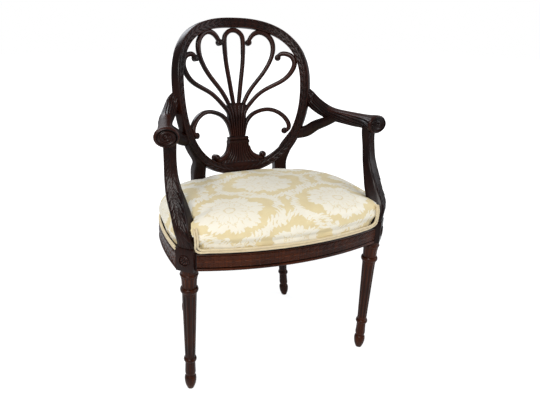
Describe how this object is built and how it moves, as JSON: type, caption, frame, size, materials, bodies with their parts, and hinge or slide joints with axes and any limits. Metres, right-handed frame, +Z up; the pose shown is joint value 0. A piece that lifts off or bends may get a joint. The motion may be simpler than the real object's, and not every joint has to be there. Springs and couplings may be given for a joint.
{
  "type": "shield back open armchair",
  "caption": "Open dining armchair with an oval curved back, pierced splat, scrolled arms on S-shaped supports, turned legs and an upholstered seat edged with cord.",
  "frame": {"origin": "centre of the bounding box at the floor, under the seat", "axes": "+Z up, +X to the sitter's left, +Y to the back; the chair faces -Y"},
  "size_m": [0.663, 0.5305, 0.9536],
  "materials": {
    "mahogany": "satin",
    "beech": "matte",
    "damask": "matte",
    "welt_cord": "matte",
    "jute": "matte",
    "dust_cloth": "matte"
  },
  "bodies": {
    "root": {"front_leg_right": "mahogany", "front_leg_left": "mahogany", "rear_leg_right": "mahogany", "rear_leg_left": "mahogany", "crest_rail": "mahogany", "lower_back_rail": "mahogany", "splat": "mahogany", "arm_right": "mahogany", "arm_left": "mahogany", "arm_support_right": "mahogany", "arm_support_left": "mahogany", "arm_brace_right": "mahogany", "arm_brace_left": "mahogany", "front_rail": "mahogany", "side_rail_right": "mahogany", "side_rail_left": "mahogany", "back_rail": "mahogany", "seat_cushion": "damask", "welt_front": "welt_cord", "welt_side_right": "welt_cord", "welt_side_left": "welt_cord", "welt_back": "welt_cord", "webbing_long": "jute", "webbing_cross": "jute", "dust_cover": "dust_cloth", "corner_block_front_right": "beech", "corner_block_front_left": "beech", "corner_block_rear_right": "beech", "corner_block_rear_left": "beech"}
  },
  "joints": []
}
